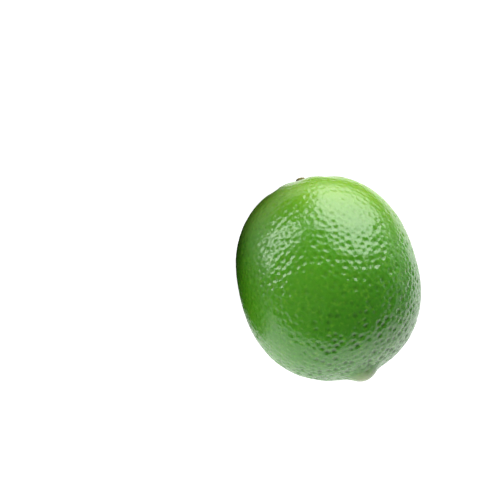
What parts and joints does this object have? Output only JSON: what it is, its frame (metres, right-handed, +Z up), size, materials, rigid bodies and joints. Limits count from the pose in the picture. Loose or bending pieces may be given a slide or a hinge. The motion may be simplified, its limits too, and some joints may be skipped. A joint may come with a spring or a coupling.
{
  "type": "lime",
  "caption": "Whole green lime lying on its side, with pitted glossy rind, a blunt nipple at the flower end and a dry calyx with a stalk stub at the stem end.",
  "frame": {"origin": "on the surface that the lime rests on, under the middle of its length", "axes": "+Z up; +X along the fruit's axis from the stem end to the nipple"},
  "size_m": [0.0636, 0.052, 0.0516],
  "materials": {
    "rind": "waxy green citrus rind with fine oil pits, paler and yellower towards the stem end",
    "calyx": "dry, matt olive-brown calyx with a woody cut face on the stalk stub"
  },
  "bodies": {
    "root": {"fruit": "rind", "calyx": "calyx"}
  },
  "joints": []
}
